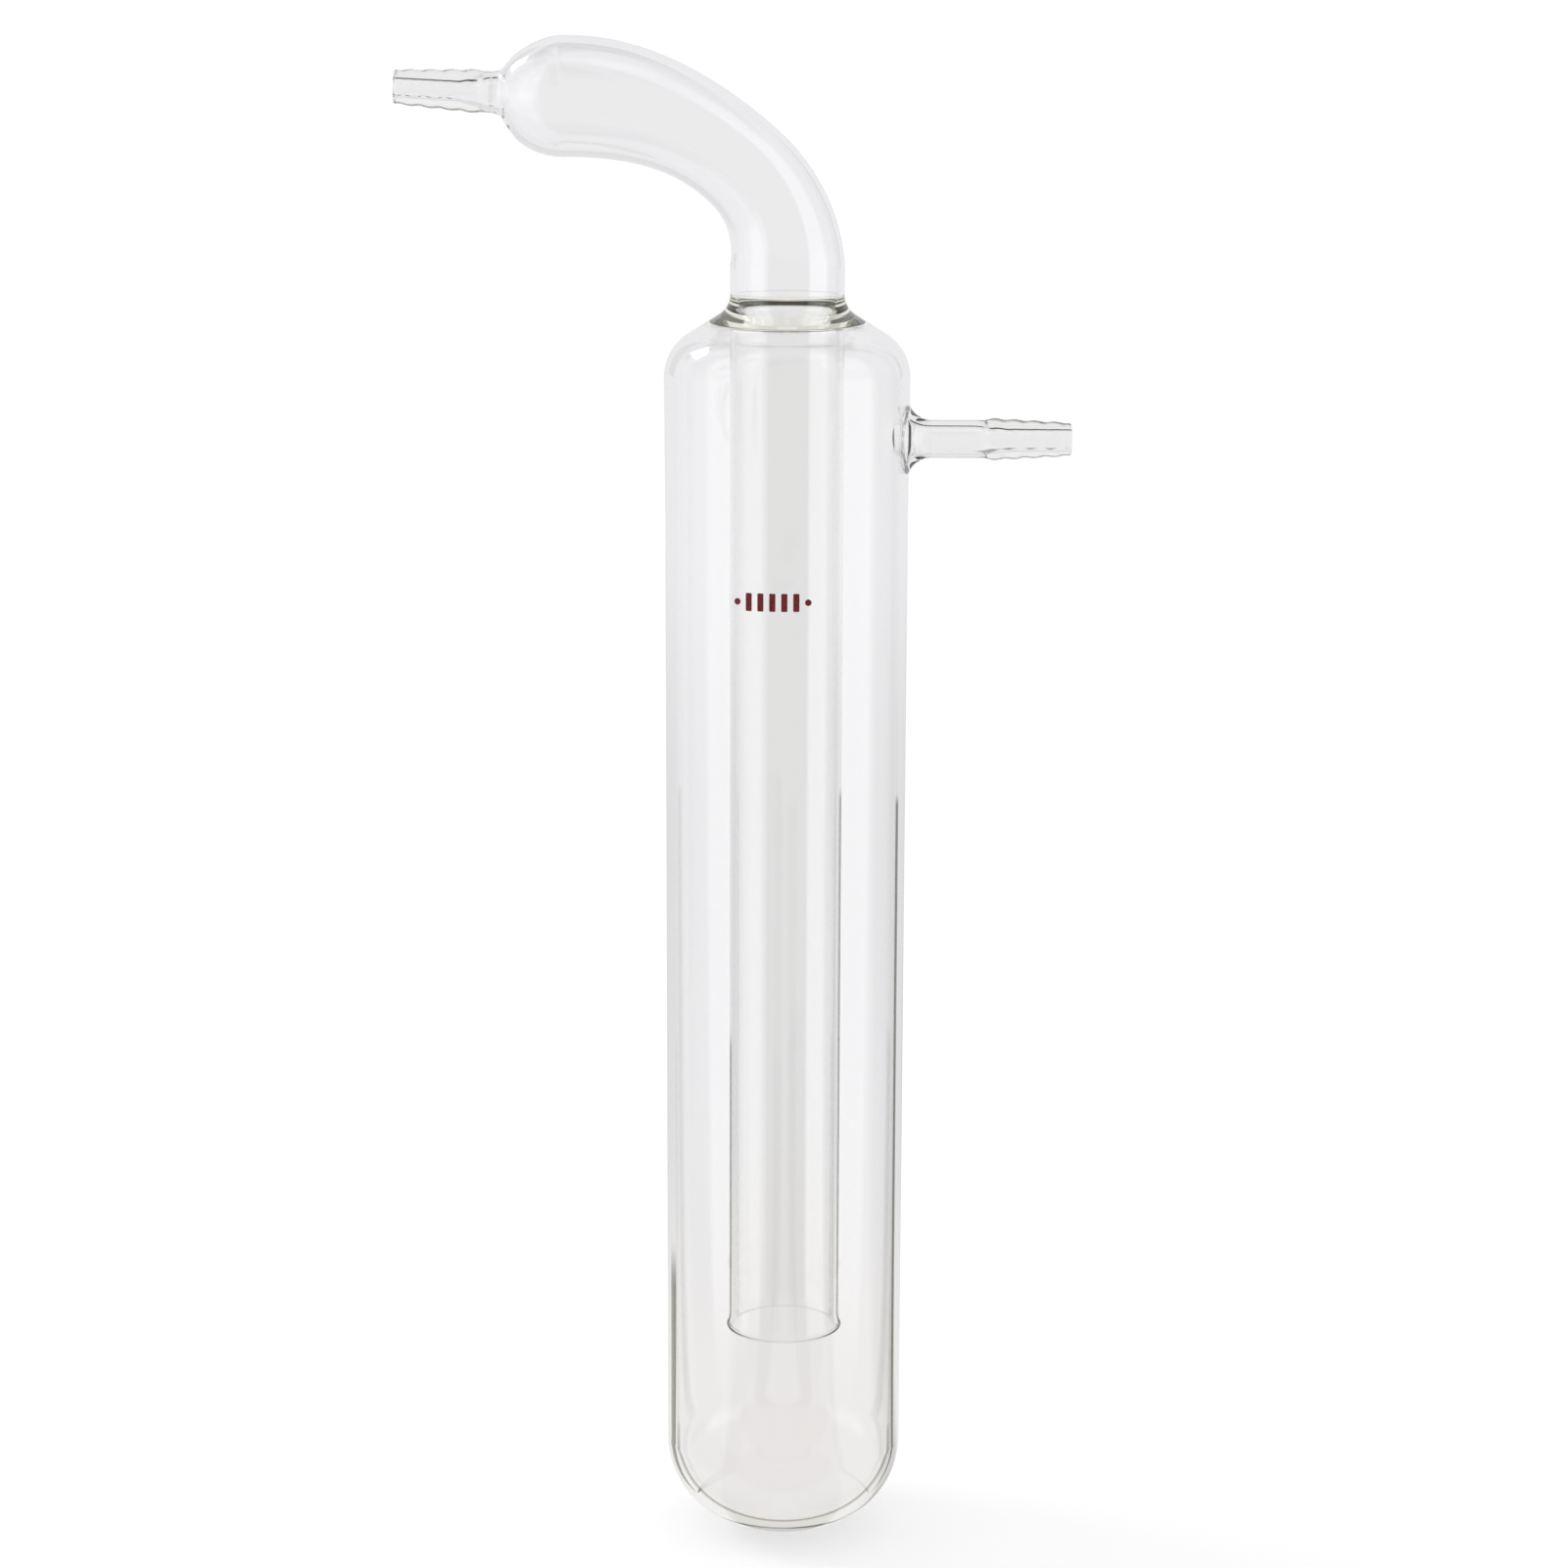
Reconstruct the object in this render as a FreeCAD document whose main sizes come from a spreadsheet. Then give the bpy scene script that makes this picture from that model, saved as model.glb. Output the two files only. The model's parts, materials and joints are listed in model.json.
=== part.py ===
import FreeCAD, Part
import math
import os

import Sketcher
from FreeCAD import Placement, Rotation, Vector

# Vacuum cold trap, lamp-worked from borosilicate tube. The frame is +Z up along the barrel, with the
# origin on the barrel's axis where a stand's clamp grips it. The gooseneck bends towards -X, and the
# side arm points along +X.

DRIVING_SIZES = {
    # barrel
    "barrelDiameter": 60.0,
    "barrelWall": 2.2,
    "bottomCrownRadius": 37.5,
    "bottomKneeRadius": 21.5,
    "gripToBottom": 150.0,
    "gripToSwell": 112.0,
    "gripToShoulder": 148.5,
    "swellRise": 0.25,
    "shoulderRadius": 12.5,
    "shoulderSlope": 32.0,
    # ring seal
    "ringSeatDiameter": 37.0,
    "ringFillet": 6.0,
    # inner tube
    "tubeDiameter": 28.0,
    "tubeWall": 1.4,
    "gripToDipEnd": 95.8,
    "lipDiameter": 29.4,
    "lipLength": 5.0,
    # gooseneck and its bulb
    "neckLength": 6.9,
    "bendRadius": 31.8,
    "bendAngle": 46.5,
    "crookRadius": 63.0,
    "waistDiameter": 24.0,
    "bulbDiameter": 28.9,
    "bulbLength": 1.2,
    "bulbEndRadius": 16.8,
    # outlet side arm on the barrel
    "gripToSideArm": 133.5,
    "outletHole": 12.4,
    "outletSealLength": 5.3,
    "outletSealFillet": 4.5,
    "outletSealFlare": 45.0,
    "outletShank": 9.3,
    "outletShankBore": 6.2,
    "outletTipBore": 4.4,
    "outletLength": 34.7,
    # inlet on the bulb
    "inletTilt": 3.0,
    "inletHole": 11.2,
    "inletSealLength": 2.8,
    "inletSealFillet": 2.5,
    "inletSealFlare": 30.0,
    "inletShank": 9.8,
    "inletShankBore": 6.6,
    "inletTipBore": 3.7,
    "inletLength": 23.3,
    # serrated ends, alike on both hose connections
    "ridgeCount": 4,
    "tipToRidge": 3.9,
    "ridgePitch": 4.95,
    "ridgeDiameter": 8.8,
    "ridgeGrowth": 0.54,
    "ridgeDepth": 0.3,
    "ridgeRunOut": 2.9,
    "tipRound": 1.0,
    "boreTaper": 5.0,
    # fired enamel mark on the front of the barrel
    "gripToEnamel": 97.0,
    "enamelOffset": 3.4,
    "enamelThickness": 0.05,
    "enamelHeight": 4.4,
    "enamelBarWidth": 1.5,
    "enamelBarPitch": 2.9,
    "enamelBarCount": 5,
    "enamelDotDiameter": 1.6,
}

# The bend is lofted through this many equal steps of each of its two arcs, with the waist near the
# end of the first.
BEND_STEPS = 6
CROOK_STEPS = 6
WAIST_STEP = 5

doc = FreeCAD.newDocument("coldTrap")
sheet = doc.addObject("Spreadsheet::Sheet", "dims")
for row, (alias, size) in enumerate(DRIVING_SIZES.items(), start=1):
    sheet.set(f"A{row}", alias)
    sheet.set(f"B{row}", str(size))
    sheet.setAlias(f"B{row}", alias)
doc.recompute()


def value(expression):
    result = sheet.evalExpression(expression)
    return float(getattr(result, "Value", result))


# ---- expressions that several pieces share --------------------------------------------------------

barrelR = "(dims.barrelDiameter / 2)"
barrelInnerR = "(dims.barrelDiameter / 2 - dims.barrelWall)"
tubeR = "(dims.tubeDiameter / 2)"
tubeInnerR = "(dims.tubeDiameter / 2 - dims.tubeWall)"
seatR = "(dims.ringSeatDiameter / 2)"
slope = "dims.shoulderSlope"

# the round bottom: a crown arc on the axis and a knee arc that ends tangent to the barrel
kneeSine = f"(({barrelR} - dims.bottomKneeRadius) / (dims.bottomCrownRadius - dims.bottomKneeRadius))"
kneeCosine = f"sqrt(1 - {kneeSine} ^ 2)"
bottomDepth = f"(dims.bottomCrownRadius - (dims.bottomCrownRadius - dims.bottomKneeRadius) * {kneeCosine})"

# the shoulder: an arc that turns until it slopes, then a straight slope up to the ring seal's seat
shoulderWall = "(dims.barrelWall + dims.swellRise)"
shoulderCentreR = f"({barrelR} + dims.swellRise - dims.shoulderRadius)"
shoulderTopR = f"({shoulderCentreR} + dims.shoulderRadius * sin({slope}))"
seatAboveShoulder = (
    f"(dims.shoulderRadius * cos({slope}) + ({shoulderTopR} - {seatR}) * tan({slope}))"
)
seatHeight = f"(dims.gripToShoulder + {seatAboveShoulder})"

# the ring seal, from its seat up to the neck and down to the dip tube
ringTangentR = f"({tubeR} + dims.ringFillet * (1 - sin({slope})))"
ringTangentRise = f"(({seatR} - {ringTangentR}) * tan({slope}))"
ringRise = f"({ringTangentRise} + dims.ringFillet * cos({slope}))"
ringInnerSeatR = f"({seatR} - {shoulderWall} * sin({slope}))"
ringUnderRadius = f"(({ringInnerSeatR} - {tubeR}) / (1 + sin({slope})))"
ringDrop = f"(({shoulderWall} + {ringUnderRadius}) * cos({slope}))"

# the gooseneck's centre line: a straight neck, a first bend and a wider crook up to level
neckBase = f"({seatHeight} + {ringRise})"
neckTop = f"({neckBase} + dims.neckLength)"
crookEndX = "(-dims.bendRadius * (1 - cos(dims.bendAngle)) - dims.crookRadius * cos(dims.bendAngle))"
crookEndZ = (
    f"({neckTop} + dims.bendRadius * sin(dims.bendAngle)"
    " + dims.crookRadius * (1 - sin(dims.bendAngle)))"
)

# the bulb runs straight from the crook's end to its rounded end, whose arc meets the inlet's hole
bulbEndX = f"({crookEndX} - dims.bulbLength)"
bulbEndCentre = "(dims.bulbDiameter / 2 - dims.bulbEndRadius)"
inletSeatDepth = f"sqrt(dims.bulbEndRadius ^ 2 - (dims.inletHole / 2 - {bulbEndCentre}) ^ 2)"


# ---- ways of making a piece -----------------------------------------------------------------------


def originPlane(body, role):
    return next(plane for plane in body.Origin.OriginFeatures if plane.Role == role)


def arcBetween(start, end, radius, side):
    # side is 1 where the centre lies left of the way from start to end, -1 where it lies right
    chord = end - start
    rise = math.sqrt(max(radius ** 2 - (chord.Length / 2) ** 2, 0.0))
    left = Vector(-chord.y, chord.x, 0).normalize()
    centre = (start + end) * 0.5 + left * (side * rise)
    first, last = (start, end) if side > 0 else (end, start)
    angles = [math.atan2(point.y - centre.y, point.x - centre.x) for point in (first, last)]
    return Part.ArcOfCircle(Part.Circle(centre, Vector(0, 0, 1), radius), *angles)


def pinPoint(sketch, geometry, position, corner):
    # fixes one corner by its two expressions, measured from the sketch's origin
    for kind, axis, expression in (("DistanceX", -2, corner[0]), ("DistanceY", -1, corner[1])):
        if expression == "0":
            sketch.addConstraint(Sketcher.Constraint("PointOnObject", geometry, position, axis))
            continue
        index = sketch.addConstraint(
            Sketcher.Constraint(kind, -1, 1, geometry, position, value(expression))
        )
        sketch.setExpression(f"Constraints[{index}]", expression)


def closedProfile(sketch, corners, rounds):
    # corners are pairs of expressions; rounds turns the edge after a corner into an arc
    points = [Vector(value(x), value(y), 0) for x, y in corners]
    ends = []
    for i, start in enumerate(points):
        end = points[(i + 1) % len(points)]
        if i in rounds:
            radius, side = rounds[i]
            sketch.addGeometry(arcBetween(start, end, value(radius), side), False)
            ends.append((1, 2) if side > 0 else (2, 1))
        else:
            sketch.addGeometry(Part.LineSegment(start, end), False)
            ends.append((1, 2))
    for i, corner in enumerate(corners):
        before = i - 1 if i else len(corners) - 1
        sketch.addConstraint(Sketcher.Constraint("Coincident", before, ends[before][1], i, ends[i][0]))
        pinPoint(sketch, i, ends[i][0], corner)
    for i, (radius, _) in rounds.items():
        index = sketch.addConstraint(Sketcher.Constraint("Radius", i, value(radius)))
        sketch.setExpression(f"Constraints[{index}]", radius)


def turnedBody(name, corners, rounds=None):
    # a solid turned about its own Z axis from a closed half section of (radius, height) corners
    body = doc.addObject("PartDesign::Body", name)
    section = body.newObject("Sketcher::SketchObject", name + "Section")
    section.AttachmentSupport = (originPlane(body, "XZ_Plane"), [""])
    section.MapMode = "FlatFace"
    closedProfile(section, corners, rounds or {})
    turned = body.newObject("PartDesign::Revolution", name + "Turned")
    turned.Profile = section
    turned.ReferenceAxis = (section, ["V_Axis"])
    turned.Angle = 360
    section.Visibility = False
    return body


def place(piece, x="0", z="0", lean="0"):
    # lean tips the piece's Z axis over towards +X
    angle = value(lean)
    piece.Placement = Placement(Vector(value(x), 0, value(z)), Rotation(Vector(0, 1, 0), angle))
    piece.setExpression("Placement.Base.x", x)
    piece.setExpression("Placement.Base.z", z)
    if angle:
        piece.setExpression("Placement.Rotation.Angle", lean)
    return piece


def cylinder(name, radius, height):
    rod = doc.addObject("Part::Cylinder", name)
    rod.setExpression("Radius", radius)
    rod.setExpression("Height", height)
    return rod


def fused(name, *pieces):
    union = doc.addObject("Part::MultiFuse", name)
    union.Shapes = list(pieces)
    return union


def without(name, piece, *tools):
    rest = doc.addObject("Part::Cut", name)
    rest.Base = piece
    rest.Tool = fused(name + "Tools", *tools) if len(tools) > 1 else tools[0]
    return rest


def label(piece, node):
    piece.Label = node
    nodes.append(piece)
    return piece


nodes = []


# ---- the outer jacket -----------------------------------------------------------------------------


def makeJacket():
    shoulderStart = "(dims.gripToBottom + dims.gripToShoulder)"
    blank = turnedBody(
        "jacketBlank",
        [
            ("0", "0"),
            (f"dims.bottomCrownRadius * {kneeSine}", f"dims.bottomCrownRadius * (1 - {kneeCosine})"),
            (barrelR, bottomDepth),
            (barrelR, "dims.gripToBottom + dims.gripToSwell"),
            (f"{barrelR} + dims.swellRise", shoulderStart),
            (shoulderTopR, f"{shoulderStart} + dims.shoulderRadius * cos({slope})"),
            (seatR, f"{shoulderStart} + {seatAboveShoulder}"),
            ("0", f"{shoulderStart} + {seatAboveShoulder} - {seatR} / tan({slope})"),
        ],
        {0: ("dims.bottomCrownRadius", 1), 1: ("dims.bottomKneeRadius", 1), 4: ("dims.shoulderRadius", 1)},
    )
    innerCrown = "(dims.bottomCrownRadius - dims.barrelWall)"
    innerShoulder = f"(dims.shoulderRadius - {shoulderWall})"
    innerTopR = f"({shoulderCentreR} + {innerShoulder} * sin({slope}))"
    innerTop = f"({shoulderStart} + {innerShoulder} * cos({slope}))"
    ceiling = f"{innerTop} + ({innerTopR} - {tubeR}) * tan({slope})"
    cavity = turnedBody(
        "jacketCavity",
        [
            ("0", "dims.barrelWall"),
            (f"{innerCrown} * {kneeSine}", f"dims.bottomCrownRadius - {innerCrown} * {kneeCosine}"),
            (barrelInnerR, bottomDepth),
            (barrelInnerR, shoulderStart),
            (innerTopR, innerTop),
            (tubeR, ceiling),
            ("0", ceiling),
        ],
        {0: (innerCrown, 1), 1: ("dims.bottomKneeRadius - dims.barrelWall", 1), 3: (innerShoulder, 1)},
    )
    for piece in (blank, cavity):
        place(piece, z="-dims.gripToBottom")
    hole = cylinder("sideArmHole", "dims.outletHole / 2", "dims.barrelDiameter")
    place(hole, z="dims.gripToSideArm", lean="90")
    jacket = without("jacket", blank, cavity, hole)
    return label(jacket, "outer_jacket"), cavity


# ---- the ring seal and the dip tube ---------------------------------------------------------------


def makeRingSeal():
    ring = turnedBody(
        "ringSeal",
        [
            (tubeInnerR, f"-{ringDrop}"),
            (tubeR, f"-{ringDrop}"),
            (ringInnerSeatR, f"-{shoulderWall} * cos({slope})"),
            (seatR, "0"),
            (ringTangentR, ringTangentRise),
            (tubeR, ringRise),
            (tubeInnerR, ringRise),
        ],
        {1: (ringUnderRadius, -1), 4: ("dims.ringFillet", -1)},
    )
    return label(place(ring, z=seatHeight), "ring_seal")


def makeDipTube():
    top = f"({seatHeight} - {ringDrop} + dims.gripToDipEnd)"
    lipR = "(dims.lipDiameter / 2)"
    halfWall = "dims.tubeWall / 2"
    tube = turnedBody(
        "dipTube",
        [
            (tubeInnerR, "dims.lipLength"),
            (f"{lipR} - dims.tubeWall", halfWall),
            (f"{lipR} - {halfWall}", "0"),
            (lipR, halfWall),
            (tubeR, "dims.lipLength"),
            (tubeR, top),
            (tubeInnerR, top),
        ],
        {1: (halfWall, 1), 2: (halfWall, 1)},
    )
    return label(place(tube, z="-dims.gripToDipEnd"), "dip_tube")


# ---- the gooseneck --------------------------------------------------------------------------------


def bendSections():
    # each step's centre (x, z), angle and radius as expressions, from the neck to the bulb
    lastStep = BEND_STEPS + CROOK_STEPS
    sections = []
    for step in range(lastStep + 1):
        if step <= BEND_STEPS:
            angle = f"(dims.bendAngle * {step} / {BEND_STEPS})"
            x = f"-dims.bendRadius * (1 - cos({angle}))"
            z = f"{neckTop} + dims.bendRadius * sin({angle})"
        else:
            part = f"{step - BEND_STEPS} / {CROOK_STEPS}"
            angle = f"(dims.bendAngle + (90 - dims.bendAngle) * {part})"
            x = f"{crookEndX} + dims.crookRadius * cos({angle})"
            z = f"{crookEndZ} - dims.crookRadius * (1 - sin({angle}))"
        if step <= WAIST_STEP:
            narrowing = f"(dims.tubeDiameter - dims.waistDiameter) * sin(90 * {step} / {WAIST_STEP})"
            radius = f"(dims.tubeDiameter - {narrowing}) / 2"
        else:
            turn = f"180 * {step - WAIST_STEP} / {lastStep - WAIST_STEP}"
            widening = f"(dims.bulbDiameter - dims.waistDiameter) * (1 - cos({turn})) / 2"
            radius = f"(dims.waistDiameter + {widening}) / 2"
        sections.append((x, z, angle, radius))
    return sections


def bendLoft(name, inset):
    circles = []
    for step, (x, z, angle, radius) in enumerate(bendSections()):
        circle = doc.addObject("Part::Circle", f"{name}Circle{step}")
        circle.setExpression("Radius", f"{radius} - {inset}")
        place(circle, x, z, f"-{angle}")
        circles.append(circle)
    loft = doc.addObject("Part::Loft", name)
    loft.Sections = circles
    loft.Solid = True
    return loft


def makeGooseneck():
    # the outside and the inside are made alike, the inside smaller by the tube's wall
    solids = {}
    for side, inset in (("Outer", "0"), ("Inner", "dims.tubeWall")):
        neck = cylinder(f"neck{side}", f"{tubeR} - {inset}", "dims.neckLength")
        place(neck, z=neckBase)
        bulb = cylinder(f"bulb{side}", f"dims.bulbDiameter / 2 - {inset}", "dims.bulbLength")
        place(bulb, crookEndX, crookEndZ, "-90")
        endRadius = f"(dims.bulbEndRadius - {inset})"
        dome = turnedBody(
            f"bulbEnd{side}",
            [
                ("0", "0"),
                (f"dims.bulbDiameter / 2 - {inset}", "0"),
                ("0", f"sqrt({endRadius} ^ 2 - {bulbEndCentre} ^ 2)"),
            ],
            {1: (endRadius, 1)},
        )
        place(dome, bulbEndX, crookEndZ, "-90")
        solids[side] = fused(f"gooseneck{side}", neck, bendLoft(f"bend{side}", inset), bulb, dome)
    hole = cylinder("inletHole", "dims.inletHole / 2", "dims.bulbDiameter")
    place(hole, bulbEndX, crookEndZ, "dims.inletTilt - 90")
    gooseneck = without("gooseneck", solids["Outer"], solids["Inner"], hole)
    return label(gooseneck, "gooseneck"), solids["Inner"]


# ---- the hose connections and the seals that join them --------------------------------------------


def connectionTube(name, bore, shank, tipBore, length):
    # ridges are counted from the tip: each one nearer the shank is wider
    shankR, shankBoreR, tipBoreR = f"{shank} / 2", f"{bore} / 2", f"{tipBore} / 2"
    count = round(value("dims.ridgeCount"))

    def ridgeR(number):
        return f"(dims.ridgeDiameter + dims.ridgeGrowth * {number}) / 2"

    def ridgeZ(number):
        return f"{length} - dims.tipToRidge - dims.ridgePitch * {number}"

    # the bore narrows over its taper from where the shank runs out into the ridges
    shankEnd = f"({ridgeZ(count - 1)} - dims.ridgeRunOut)"
    corners = [(shankBoreR, "0"), (shankR, "0"), (shankR, shankEnd)]
    for number in reversed(range(count)):
        corners.append((ridgeR(number), ridgeZ(number)))
        if number:
            corners.append((f"{ridgeR(number - 0.5)} - dims.ridgeDepth", ridgeZ(number - 0.5)))
    tipR = f"{ridgeR(-0.5)} - dims.ridgeDepth"
    tipRound = len(corners)
    corners.append((tipR, f"{length} - dims.tipRound"))
    corners.append((f"{tipR} - dims.tipRound", length))
    corners.append((tipBoreR, length))
    corners.append((tipBoreR, f"{shankEnd} + dims.boreTaper"))
    corners.append((shankBoreR, shankEnd))
    return turnedBody(name, corners, {tipRound: ("dims.tipRound", 1)})


def sealTrumpet(name, bore, shank, fillet, flare, root, end):
    # a flared collar that grips the shank at its end and spreads down into the wall it joins
    shankR, boreR = f"{shank} / 2", f"{bore} / 2"
    flareR = f"({shankR} + {fillet} * (1 - cos({flare})))"
    flareZ = f"({end} - {fillet} * sin({flare}))"
    corners = [
        (boreR, root),
        (f"{flareR} + ({flareZ} - ({root})) * tan({flare})", root),
        (flareR, flareZ),
        (shankR, end),
        (boreR, end),
    ]
    return turnedBody(name, corners, {2: (fillet, -1)})


def makeOutlet(jacket, cavity):
    sealEnd = f"{barrelR} + dims.outletSealLength"
    trumpet = sealTrumpet(
        "sideArmTrumpet",
        "dims.outletShankBore",
        "dims.outletShank",
        "dims.outletSealFillet",
        "dims.outletSealFlare",
        f"{barrelR} - 2 * dims.barrelWall",
        sealEnd,
    )
    place(trumpet, z="dims.gripToSideArm", lean="90")
    label(without("sideArmSeal", trumpet, jacket, cavity), "side_arm_seal")
    arm = connectionTube(
        "sideArm", "dims.outletShankBore", "dims.outletShank", "dims.outletTipBore", "dims.outletLength"
    )
    place(arm, sealEnd, "dims.gripToSideArm", "90")
    label(arm, "side_arm")


def makeInlet(gooseneck, cavity):
    # the inlet leans off the bulb's own axis by its tilt, turning about the middle of the bulb's end
    lean = "dims.inletTilt - 90"
    sealEnd = f"({inletSeatDepth} + dims.inletSealLength)"
    trumpet = sealTrumpet(
        "inletTrumpet",
        "dims.inletShankBore",
        "dims.inletShank",
        "dims.inletSealFillet",
        "dims.inletSealFlare",
        f"{inletSeatDepth} - 3 * dims.tubeWall",
        sealEnd,
    )
    place(trumpet, bulbEndX, crookEndZ, lean)
    label(without("inletSeal", trumpet, gooseneck, cavity), "inlet_seal")
    hose = connectionTube(
        "inlet", "dims.inletShankBore", "dims.inletShank", "dims.inletTipBore", "dims.inletLength"
    )
    place(
        hose,
        f"{bulbEndX} - {sealEnd} * cos(dims.inletTilt)",
        f"{crookEndZ} + {sealEnd} * sin(dims.inletTilt)",
        lean,
    )
    label(hose, "inlet_hose_connection")


# ---- the fired enamel mark ------------------------------------------------------------------------


def makeEnamelMark():
    # a plain row of bars with a dot at each end, laid on the barrel's front as a thin skin
    count = round(value("dims.enamelBarCount"))
    skinOuter = cylinder("enamelSkin", f"{barrelR} + dims.enamelThickness", "2 * dims.enamelHeight")
    skinInner = cylinder("enamelCore", barrelR, "2 * dims.enamelHeight")
    skin = without("enamelShell", skinOuter, skinInner)
    for piece in (skinOuter, skinInner):
        place(piece, z="dims.gripToEnamel - dims.enamelHeight")
    marks = []
    for number in range(-1, count + 1):
        across = f"dims.enamelBarPitch * ({number} - (dims.enamelBarCount - 1) / 2) - dims.enamelOffset"
        if number in (-1, count):
            mark = cylinder(f"enamelDot{len(marks)}", "dims.enamelDotDiameter / 2", "dims.barrelDiameter")
            mark.Placement = Placement(Vector(value(across), 0, 0), Rotation(Vector(1, 0, 0), 90))
            mark.setExpression("Placement.Base.z", "dims.gripToEnamel")
        else:
            mark = doc.addObject("Part::Box", f"enamelBar{number}")
            mark.setExpression("Length", "dims.enamelBarWidth")
            mark.setExpression("Width", "dims.barrelDiameter")
            mark.setExpression("Height", "dims.enamelHeight")
            mark.setExpression("Placement.Base.y", "-dims.barrelDiameter")
            mark.setExpression("Placement.Base.z", "dims.gripToEnamel - dims.enamelHeight / 2")
            across += " - dims.enamelBarWidth / 2"
        mark.setExpression("Placement.Base.x", across)
        marks.append(mark)
    enamel = doc.addObject("Part::MultiCommon", "enamel")
    enamel.Shapes = [skin, fused("enamelStamps", *marks)]
    return label(enamel, "enamel_mark")


# ---- build, check and write -----------------------------------------------------------------------

jacket, jacketCavity = makeJacket()
makeRingSeal()
makeDipTube()
gooseneck, gooseneckCavity = makeGooseneck()
makeOutlet(jacket, jacketCavity)
makeInlet(gooseneck, gooseneckCavity)
makeEnamelMark()
doc.recompute()

for item in doc.Objects:
    if "Invalid" in item.State or "Error" in item.State:
        raise RuntimeError(f"{item.Label} did not recompute: {item.State}")
for node in nodes:
    if node.Shape.isNull() or not node.Shape.isValid() or not node.Shape.Solids:
        raise RuntimeError(f"{node.Label} has no valid solid")

os.makedirs("parts", exist_ok=True)
for node in nodes:
    node.Shape.exportStep(os.path.join("parts", node.Label + ".step"))
    box = node.Shape.BoundBox
    print(f"{node.Label:24s} solids {len(node.Shape.Solids)}  volume {node.Shape.Volume:9.1f} mm3"
          f"  x {box.XMin:7.2f}..{box.XMax:7.2f}  y {box.YMin:7.2f}..{box.YMax:7.2f}"
          f"  z {box.ZMin:7.2f}..{box.ZMax:7.2f}")
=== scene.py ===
import json
import math

import bmesh
import bpy
import numpy as np
from mathutils import Euler, Matrix, Vector


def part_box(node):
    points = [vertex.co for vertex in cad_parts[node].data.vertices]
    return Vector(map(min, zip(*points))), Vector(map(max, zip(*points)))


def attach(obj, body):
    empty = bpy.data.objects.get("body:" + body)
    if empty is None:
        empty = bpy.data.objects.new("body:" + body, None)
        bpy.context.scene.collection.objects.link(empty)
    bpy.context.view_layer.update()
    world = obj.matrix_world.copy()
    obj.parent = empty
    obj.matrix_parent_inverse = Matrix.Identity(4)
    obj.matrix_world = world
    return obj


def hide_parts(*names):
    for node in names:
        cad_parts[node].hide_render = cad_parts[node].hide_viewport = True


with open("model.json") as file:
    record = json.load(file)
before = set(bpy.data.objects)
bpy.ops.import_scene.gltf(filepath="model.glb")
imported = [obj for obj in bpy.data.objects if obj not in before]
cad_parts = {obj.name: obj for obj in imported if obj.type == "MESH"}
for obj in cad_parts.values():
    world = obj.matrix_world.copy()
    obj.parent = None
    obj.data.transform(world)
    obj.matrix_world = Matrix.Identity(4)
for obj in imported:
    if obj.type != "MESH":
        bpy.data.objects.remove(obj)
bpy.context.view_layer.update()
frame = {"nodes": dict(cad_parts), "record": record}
print("frame loaded:", len(frame["nodes"]), "nodes")

# Every length is in metres. The frame's origin is on the barrel's axis, at the clamp's grip; the
# gooseneck bends towards -X, the side arm points along +X and the front is -Y.
mounts = {mount["name"]: mount for mount in frame["record"]["mounts"]}
around = 192           # segments round every tube
fuse = 0.00003         # how far two fused pieces run into each other

barrel = {
    "radius": mounts["barrel_grip"]["dims"]["r_mm"] / 1000,
    "wall": 0.0022,
    "crown": 0.0375,           # radius of the round bottom on the axis
    "knee": 0.0215,            # radius where the bottom turns up into the barrel
    "bottom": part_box("outer_jacket")[0].z,
    "swellStart": 0.112,
    "swellEnd": 0.1485,
    "swell": 0.00025,
    "shoulder": 0.0125,
    "slope": 32.0,             # degrees that the shoulder falls away from the ring
    "seatRadius": 0.0205,      # where the shoulder meets the ring seal
    "topRadius": 0.0185,
    "topHeight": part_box("outer_jacket")[1].z,
}


def kneePlace():
    # the middle of the bottom's knee, from the axis and up, and the angle where its arc starts
    run = barrel["radius"] - barrel["knee"]
    slant = barrel["crown"] - barrel["knee"]
    height = barrel["bottom"] + barrel["crown"] - math.sqrt(slant ** 2 - run ** 2)
    return run, height, math.degrees(math.asin(run / slant)) - 90


def arcPoints(centre, radius, start, end, steps):
    # (radius, height) points along an arc; angles in degrees from the horizontal
    angles = np.radians(np.linspace(start, end, steps + 1))
    return [(centre[0] + radius * math.cos(a), centre[1] + radius * math.sin(a)) for a in angles]


def straight(start, end, steps):
    return [tuple(np.array(start) + (np.array(end) - np.array(start)) * k / steps) for k in range(steps + 1)]


def after(start, end, steps):
    # evenly spaced values up to the end, without the start
    return list(np.linspace(start, end, steps + 1)[1:])


def ease(t):
    t = min(max(t, 0.0), 1.0)
    return t * t * (3 - 2 * t)


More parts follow.
